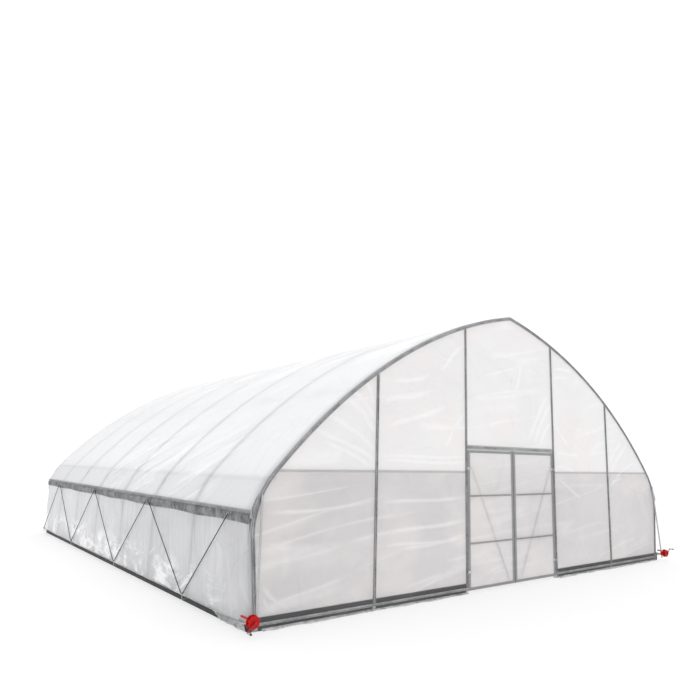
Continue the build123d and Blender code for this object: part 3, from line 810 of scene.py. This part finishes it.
def makeWall(name, skin, outY, innerX, splitZ, stands, seed, drawn, material, step):
    # The skin plus a broad puff and the folds, both held flat where the film lies on a tube
    parts, depths, marks = [], [], []
    for sign in (1.0, -1.0):
        for x, z in wallGrids(sign, innerX, splitZ, step):
            depth = archDepth(x, z)
            side = np.abs(x)
            hold = smooth(depth, 0.04, 0.2) * smooth(np.abs(side - wallFrame["outerPost"]), 0.015, 0.14)
            hold = hold * smooth(np.abs(side - wallFrame["doorPost"]), 0.015, 0.12) * smooth(z, 0.13, 0.30)
            hold = hold * smooth(np.abs(z - wallFrame["girt"]), 0.0, 0.05)
            if innerX > 0:
                hold = hold * np.where(side < 1.15, smooth(z - splitZ, 0.0, 0.15), 1.0)
            puff = wallFilm["puff"] * (1 + wave(x + 0.4 * z, 1.3)) * hold
            folds = creases(x, z, seed, wallFilm["folds"], 0, 50, (0.3, 1.3), (0.016, 0.035), (0.002, 0.006))
            # mark: where the drawn creases run, kept as the crease attribute for the front film's painted
            # highlight
            mark = np.zeros_like(x)
            for *line, width, height in drawn:
                fold = ridgeFold(x, z, line, width / 1000)
                folds = folds + height / 1000 * fold
                mark = np.maximum(mark, fold)
            push = puff + np.maximum(folds, -0.003) * hold
            points = np.stack([x, skin + outY * push, z], axis=-1)
            parts.append(surface(points, turned=(sign * outY > 0)))
            depths.append(depth.ravel())
            marks.append(mark.ravel())
    piece = build(name, parts, material, stands=stands)
    for key, values in (("edge", depths), ("crease", marks)):
        layer = piece.data.attributes.new(key, "FLOAT", "POINT")
        layer.data.foreach_set("value", np.concatenate(values))
    weld = bmesh.new()
    weld.from_mesh(piece.data)
    bmesh.ops.remove_doubles(weld, verts=weld.verts, dist=0.0005)
    weld.to_mesh(piece.data)
    weld.free()
    return piece


frontWall = makeWall(
    "front_wall_sheet",
    frontSkin + 0.001,
    -1.0,
    doorEdge,
    headerBox[0].z + 0.018,
    ("front_film_left", "front_film_right", "front_film_over_door"),
    11,
    wallCreases,
    frontMaterial,
    wallFilm["frontStep"],
)
rearWall = makeWall(
    "rear_wall_sheet",
    backSkin - 0.001,
    1.0,
    0.0,
    wallFilm["rearSplit"],
    ("rear_film",),
    12,
    (),
    wallMaterial,
    wallFilm["rearStep"],
)
frontHolds = ["front_base_boards", "outer_posts", "door_posts", "door_header"]
rearHolds = ["rear_base_boards", "rear_posts"]
for wall, nodes in ((frontWall, frontHolds), (rearWall, rearHolds)):
    areaOf(wall) * 0.99
print("end walls")


# The end wall's hem: film below the base channel, crumpled on the ground to the left and right of the door
frontHem = {"step": 0.022, "reach": 0.055, "crumple": 0.008, "end": 4.47}


def makeFrontHem(name, fromX, toX):
    vGrid, xGrid = grid(np.linspace(0, 1, 12), evenly(fromX, toX, frontHem["step"]))
    reach = frontHem["reach"] * (0.62 + 0.38 * wave(xGrid, 0.93, 2 * wave(xGrid, 2.1)))
    coarse = wave(xGrid + 0.3 * vGrid, 0.13, 2 * wave(xGrid, 0.7))
    crumple = frontHem["crumple"] * (coarse + 0.5 * wave(xGrid - 0.2 * vGrid, 0.06, 3 * wave(xGrid, 0.4)))
    drop = smooth(vGrid, 0.0, 0.55)
    z = 0.022 * (1 - drop) + 0.004 + np.abs(crumple) * np.sin(np.pi * vGrid) * 0.9
    y = frontSkin - 0.013 - reach * smooth(vGrid, 0.25, 1.0) + 0.4 * crumple * vGrid
    points = np.stack([xGrid, np.minimum(y, frontSkin - 0.0125), z], axis=-1)
    piece = build(name, [surface(points)], hemMaterial)
    flat, area = (0.1, abs(toX - fromX)), areaOf(piece) * 0.97


makeFrontHem("front_hem_left", -frontHem["end"], -doorEdge - 0.02)
makeFrontHem("front_hem_right", doorEdge + 0.02, frontHem["end"])


# Side curtains: behind the valance at the top, wound on the roll bar at the foot
curtain = {"step": 0.04, "ripple": 0.006, "turnIn": 0.12, "foot": 0.12, "railFoot": 1.144, "seed": 21}


def makeCurtain(side, sign):
    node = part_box(side + "_side_curtain")
    foot, step = curtain["foot"], curtain["step"]
    nearX, farX = outward(node)
    innerX, footX = nearX + 0.001, farX - 0.001
    zGrid, yGrid = grid(evenly(node[1].z, foot, step), evenly(node[0].y, node[1].y, step))
    x = np.interp(-zGrid, [-node[1].z, -curtain["railFoot"], -foot], [innerX, innerX, footX])
    down = (node[1].z - zGrid) / (node[1].z - foot)
    hang = smooth(zGrid, 1.20, 1.05) * smooth(zGrid, foot, 0.30)
    sizes = ((0.3, 1.0), (0.018, 0.04), (0.003, 0.009))
    folds = creases(zGrid, yGrid, curtain["seed"] + (sign > 0), 150, 20, 40, *sizes)
    ripple = wave(yGrid + 0.25 * wave(zGrid, 1.2), 0.63, wave(yGrid, 2.9)) * (0.4 + 0.6 * down)
    low = wave(yGrid + 0.5 * zGrid, 0.23, 2 * wave(yGrid, 1.9)) * np.exp(-((zGrid - 0.30) / 0.16) ** 2)
    x = x + hang * (curtain["ripple"] * ripple + np.maximum(folds, -0.004) + 0.005 * low)
    legX = arch["halfGround"] + tube / 2 + zGrid * math.tan(lean) + 0.002
    fromEnd = smooth(np.minimum(yGrid - node[0].y, node[1].y - yGrid), 0.0, curtain["turnIn"])
    x = np.where(zGrid < bendZ, legX + (x - legX) * fromEnd, x)
    points = np.stack([sign * x, yGrid, zGrid], axis=-1)
    parts = [surface(points, turned=sign > 0)]
    stands = (side + "_side_curtain",)
    piece = build(side + "_curtain_sheet", parts, curtainMaterial, stands=stands)


# The valance: the loose edge of the roof film below its channel, gathered and bulging
valance = {"step": 0.025, "bulge": 0.028, "below": 0.036, "sagEvery": 1.99644}


def makeValance(side, sign):
    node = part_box(side + "_valance")
    wallX = abs(node[0].x + node[1].x) / 2
    vGrid, yGrid = grid(np.linspace(0, 1, 15), evenly(node[0].y, node[1].y, valance["step"]))
    sag = 0.5 + 0.5 * wave(yGrid, valance["sagEvery"], 1.1 + 0.8 * wave(yGrid, 3.7))
    topZ = node[1].z - valance["below"]
    z = topZ - vGrid * (topZ - node[0].z) * (0.86 + 0.12 * sag)
    pleat = 0.006 * wave(yGrid + 0.03 * vGrid, 0.11, 2.2 * wave(yGrid, 0.83))
    pleat = pleat + 0.004 * wave(yGrid, 0.047, 3 * wave(yGrid, 1.3))
    bulge = np.sin(np.pi * np.clip(vGrid * 1.15, 0, 1)) * (valance["bulge"] * sag + 0.006)
    x = wallX + 0.001 + bulge + np.abs(pleat) * vGrid
    parts = [surface(np.stack([sign * x, yGrid, z], axis=-1), turned=sign > 0)]
    stands = (side + "_valance",)
    piece = build(side + "_valance_sheet", parts, valanceMaterial, stands=stands)


# Ropes: three strands laid together, tight from hook to hook on the line of the plain ones
ropeRun = {"radius": 0.0064, "sides": 9, "lay": 0.06, "gap": 0.05}
ropeHooks = {"tops": (0.28, 2.15, 4.15, 6.13), "feet": (1.1, 3.1, 5.1, 6.95)}  # in bays from the front arch


def makeRope(side, sign):
    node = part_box(side + "_rope")
    x, low, high = (node[0].x + node[1].x) / 2, node[0].z + 0.003, node[1].z - 0.003
    half = ropeRun["gap"] / 2
    points = []
    for top, foot in zip(ropeHooks["tops"], ropeHooks["feet"]):
        topY, footY = firstArch + bay * top, firstArch + bay * foot
        points += [(x, topY - half, high), (x, topY + half, high)]
        points += [(x, footY - half, low), (x, footY + half, low)]
    points[0], points[-1] = (x, node[0].y, high), (x, node[1].y, low)
    path, run = resample(np.array(points), ropeRun["lay"] / 2)
    out = np.array([sign, 0.0, 0.0])
    across = np.cross(directions(path), np.broadcast_to(out, path.shape))
    angle = np.linspace(0, 2 * np.pi, ropeRun["sides"], endpoint=False)
    turn = angle[None, :] + (2 * np.pi * run / (3 * ropeRun["lay"]))[:, None]
    size = ropeRun["radius"] * (1 + 0.12 * np.cos(3 * angle))[None, :, None]
    ring = path[:, None] + size * (np.cos(turn)[..., None] * across[:, None] + np.sin(turn)[..., None] * out)
    parts = [surface(ring, wrap=True, caps=True)]
    build(side + "_rope_strands", parts, ropeMaterial, closed=True, stands=(side + "_rope",))


# Film wound on the bar: layers that slip along it, so the outside is ridged and uneven
rollFilm = {"step": 0.03, "sides": 26}


def makeRoll(side):
    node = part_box(side + "_roll_bar")
    centreX, centreZ = (node[0].x + node[1].x) / 2, (node[0].z + node[1].z) / 2
    radius = (node[1].z - node[0].z) / 2
    angle = np.linspace(0, 2 * np.pi, rollFilm["sides"], endpoint=False)
    yGrid, aGrid = grid(evenly(node[0].y, node[1].y, rollFilm["step"]), angle)
    inTunnel = smooth(yGrid, firstArch - 0.06, firstArch + 0.02)
    inTunnel = inTunnel * smooth(yGrid, lastArch + 0.04, lastArch - 0.02)
    spiral = np.abs(wave(aGrid / (2 * np.pi) + 0.9 * yGrid + 0.2 * wave(yGrid, 0.9), 0.5))
    bumps = 0.86 + 0.09 * spiral + 0.05 * wave(yGrid + 0.04 * np.sin(3 * aGrid), 0.17, wave(yGrid, 0.7))
    r = radius * (0.5 + 0.5 * inTunnel * bumps)
    points = np.stack([centreX + r * np.cos(aGrid), yGrid, centreZ + r * np.sin(aGrid)], axis=-1)
    parts = [surface(points, wrap=True, caps=True)]
    build(side + "_film_roll", parts, rollMaterial, closed=True, stands=(side + "_roll_bar",))


# The hem: the film's loose foot, over the board to the ground near the front and over its top further back
hem = {"step": 0.035, "top": 0.118, "bareFrom": 0.95, "bareTo": 2.1, "ripple": 0.010}


def makeHem(side, sign):
    outX, boardX = [outward(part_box(side + node))[1] for node in ("_roll_bar", "_base_board")]
    y = np.linspace(firstArch - 0.02, lastArch, int((lastArch - firstArch) / hem["step"]))
    vGrid, yGrid = grid(np.linspace(0, 1, 9), y)
    ahead = yGrid - firstArch
    wobble = 0.014 * wave(yGrid, 0.71, wave(yGrid, 1.9)) + 0.008 * wave(yGrid, 0.23)
    foot = 0.006 + smooth(ahead, hem["bareFrom"] - 0.35, hem["bareFrom"]) * 0.105
    foot = foot - smooth(ahead, hem["bareTo"], hem["bareTo"] + 0.5) * (0.026 - 0.6 * wobble)
    z = hem["top"] + vGrid * (foot - hem["top"])
    ripple = hem["ripple"] * wave(yGrid + 0.1 * vGrid, 0.19, 2 * wave(yGrid, 0.9))
    ripple = ripple + 0.5 * hem["ripple"] * wave(yGrid, 0.07, 3 * vGrid)
    out = (outX - 0.006) * (1 - vGrid) + (boardX + 0.022) * vGrid
    x = np.minimum(out + ripple * np.sin(np.pi * vGrid * 0.7), outX + 0.02)
    points = np.stack([sign * np.maximum(x, boardX + 0.004), yGrid, np.maximum(z, 0.004)], axis=-1)
    piece = build(side + "_hem_sheet", [surface(points, turned=sign > 0)], hemMaterial)
    flat, area = (0.1, lastArch - firstArch + 0.02), areaOf(piece) * 0.97


for side, sign in sides:
    makeCurtain(side, sign)
    makeHem(side, sign)
    makeRope(side, sign)
    makeValance(side, sign)
    makeRoll(side)
print("sides")


# Lock channels: a C-shaped strip, with a zigzag spring wire pressed into it over the film
channel = {
    "width": 0.034,
    "slim": 0.026,  # beside the doorway
    "depth": 0.010,
    "wall": 0.0016,
    "lip": 0.006,
    "period": 0.085,
    "wire": 0.0019,
    "seat": 0.0045,  # how far the wire stays from the sides and the floor
}


def channelSection(width):  # a C: its floor, walls and lips
    half, deep, wall, lip = width / 2, channel["depth"], channel["wall"], channel["lip"]
    right = [(half, 0.0), (half, deep), (half - lip, deep), (half - lip, deep - wall)]
    right += [(half - wall, deep - wall), (half - wall, wall)]
    return np.array(right + [(-a, o) for a, o in right[::-1]])


def channelParts(path, out, width):
    # The strip along the path, and a wire that swings across it and back once each period
    even, _ = resample(path, 0.12)
    strip = surface(carried(even, out, channelSection(width)), wrap=True, caps=True)
    fine, run = resample(path, channel["period"] / 8)
    across = np.cross(directions(fine), np.broadcast_to(np.asarray(out, float), fine.shape))
    phase = 2 * np.pi * run / channel["period"]
    swing = np.arcsin(np.sin(phase) * 0.97) / 1.33
    line = fine + across * swing[:, None] * (width / 2 - channel["seat"])
    rise = channel["seat"] + 0.0012 * np.cos(phase)
    line = line + np.asarray(out, float) * rise[:, None]
    wire = surface(carried(line, out, roundSection(channel["wire"], 5)), wrap=True, caps=True)
    return strip, wire


def archPath(y):  # the arch's line from the right foot over the ridge to the left foot
    line = archLine(0.0, 0.05, 0.004)
    right = np.stack([line[:, 0], np.full(len(line), y), line[:, 1]], axis=1)
    right[-1, 0] = 0.0
    return np.concatenate([right[:-1], (right * np.array([-1, 1, 1]))[::-1]])


def upTo(x):  # the height at which an upright meets the arch's channel
    line = archLine(-channel["width"] / 2 - 0.001, 0.02)
    past = line[:, 1] > bendZ
    return float(np.interp(-x, -line[past, 0], line[past, 1]))


def straight(start, end):
    return np.array([start, end], float)


def makeChannels(name, paths, out, stands, wires):
    strips = []
    for path, width in paths:
        strip, wire = channelParts(path, out, width)
        strips.append(strip)
        wires.append(wire)
    build(name, strips, channelMaterial, closed=True, stands=stands, smooth=False)


def endPaths(y, door):
    # Uprights beside the doorway and at the outer posts, the base's, and the header's where there is a door
    width, baseZ, endX = channel["width"], wallFrame["channelZ"], wallFrame["channelEnd"]
    inner = (door + channel["slim"] / 2, channel["slim"]) if door else (wallFrame["doorPost"], width)
    paths = []
    for sign in (1.0, -1.0):
        for x, wide in (inner, (wallFrame["outerPost"], width)):
            top = upTo(x + width / 2)
            paths.append((straight((sign * x, y, 0.09), (sign * x, y, top)), wide))
        if door:
            paths.append((straight((sign * door, y, baseZ), (sign * endX, y, baseZ)), width))
    if door:
        headerZ = (headerBox[0].z + headerBox[1].z) / 2
        paths.append((straight((door - 0.001, y, headerZ), (-door + 0.001, y, headerZ)), width))
    else:
        paths.append((straight((endX, y, baseZ), (-endX, y, baseZ)), width))
    return paths


wires = []
frontY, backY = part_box("front_arch_channel")[1].y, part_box("rear_arch_channel")[0].y
ends = (("front", frontY, (0, -1, 0), doorEdge), ("rear", backY, (0, 1, 0), 0.0))
for end, y, out, _ in ends:
    makeChannels(end + "_arch_lock", [(archPath(y), channel["width"])], out, (end + "_arch_channel",), wires)
for end, y, out, door in ends:
    makeChannels(end + "_wall_locks", endPaths(y, door), out, (end + "_lock_channels",), wires)
for side, sign in sides:
    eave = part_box(side + "_eave_channel")
    eaveX = outward(eave)[0] * sign
    eaveZ = (eave[0].z + eave[1].z) / 2
    eavePath = straight((eaveX, eave[0].y, eaveZ), (eaveX, eave[1].y, eaveZ))
    eavePaths = [(eavePath, channel["width"])]
    makeChannels(side + "_eave_lock", eavePaths, (sign, 0, 0), (side + "_eave_channel",), wires)
build("lock_wires", wires, zincMaterial, closed=True)
print("lock channels and wires")


# Door film: tight on the leaf's frame, whose rails and stiles show through it; its brace is painted on as
# shade
leaf = {"step": 0.03, "rails": (0.70, 1.39), "meeting": 0.030, "stile": 1.058, "seed": 31}


def makeDoorFilm(side, sign):
    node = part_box(side + "_door_film")
    step = leaf["step"]
    zGrid, xGrid = grid(evenly(node[0].z, node[1].z, step), evenly(node[0].x, node[1].x, step))
    fromSide = np.minimum(xGrid - node[0].x, node[1].x - xGrid)
    edge = np.minimum(fromSide, np.minimum(zGrid - node[0].z, node[1].z - zGrid))
    hold = smooth(edge, 0.03, 0.14)
    for height in leaf["rails"]:
        hold = hold * smooth(np.abs(zGrid - height), 0.01, 0.08)
    sizes = ((0.2, 0.7), (0.014, 0.03), (0.001, 0.004))
    folds = creases(xGrid, zGrid, leaf["seed"] + (sign > 0), 40, 30, 50, *sizes)
    y = node[0].y + 0.001 - hold * (0.002 + np.maximum(folds, -0.002))
    parts = [surface(np.stack([xGrid, y, zGrid], axis=-1), turned=True)]
    leafBody, stands = side + "_door", (side + "_door_film",)
    piece = build(side + "_door_sheet", parts, doorSheetMaterial, body=leafBody, stands=stands)


def doorBrace(film):  # painted shade where the slanting tube stands behind each leaf's film
    return film.slantLine(abs(film.x), (1.033, 1.87), (0.135, 0.08), 0.030)


def doorTouch(film):
    side = abs(film.x)
    touch = abs(side - leaf["meeting"]).fade(0.024, 0.032)
    touch = touch.largest(abs(side - leaf["stile"]).fade(0.024, 0.032))
    for height in leaf["rails"]:
        touch = touch.largest(abs(film.z - height).fade(0.007, 0.014))
    return touch.largest(film.z.fade(0.075, 0.085)).largest(film.z.fade(2.027, 2.037, 0.0, 1.0))


# painted shade on the door film: along the brace and darker below 1.5 m than above 2 m; the blotches are
# random tone
def doorShadeAndBlotches(film):
    shade = doorBrace(film) * 0.45 + film.z.fade(1.50, 2.0, 0.66, 0.42)
    return shade + film.noise(0.8, 3.0, 0.6).fade(0.35, 0.7, 0.0, 0.10)


doorSheetMaterial = makeFilm("door_sheet", doorTouch, doorShadeAndBlotches, wallLines, "warm", "warmShade", 0.35)
for side, sign in sides:
    makeDoorFilm(side, sign)
print("doors")


# Floor, light and background
studio = {
    "floor": (0.33, 0.33, 0.33, 1.0),
    "floorHalf": 150.0,
    "glow": 0.63,
    "white": (1.0, 1.0, 1.0, 1.0),
    "skyStrength": 1.08,
    "sun": 0.55,
    "sunSpread": 50,
    "sunTilt": (-18, 14),
}


def makeStudio():
    mesh = bpy.data.meshes.new("floor")
    size = studio["floorHalf"]
    corners = [(-size, -size, 0), (size, -size, 0), (size, size, 0), (-size, size, 0)]
    mesh.from_pydata(corners, [], [(0, 1, 2, 3)])
    floor = bpy.data.objects.new("floor", mesh)
    bpy.context.scene.collection.objects.link(floor)
    pale = Finish("floor").close(
        Base_Color=studio["floor"],
        Roughness=0.95,
        Emission_Color=studio["white"],
        Emission_Strength=studio["glow"],
        Specular_IOR_Level=0.1,
    )
    mesh.materials.append(pale)
    world = bpy.data.worlds.new("studio")
    world.use_nodes = True
    sky = world.node_tree.nodes["Background"]
    sky.inputs["Color"].default_value = studio["white"]
    sky.inputs["Strength"].default_value = studio["skyStrength"]
    bpy.context.scene.world = world
    sun = bpy.data.objects.new("soft_light", bpy.data.lights.new("soft_light", "SUN"))
    sun.data.energy = studio["sun"]
    sun.data.angle = math.radians(studio["sunSpread"])
    aroundX, aroundY = [math.radians(turn) for turn in studio["sunTilt"]]
    sun.matrix_world = Matrix.Rotation(aroundX, 4, "X") @ Matrix.Rotation(aroundY, 4, "Y")
    bpy.context.scene.collection.objects.link(sun)
    bpy.context.scene.view_settings.view_transform = "Standard"


makeStudio()
print("studio ready")
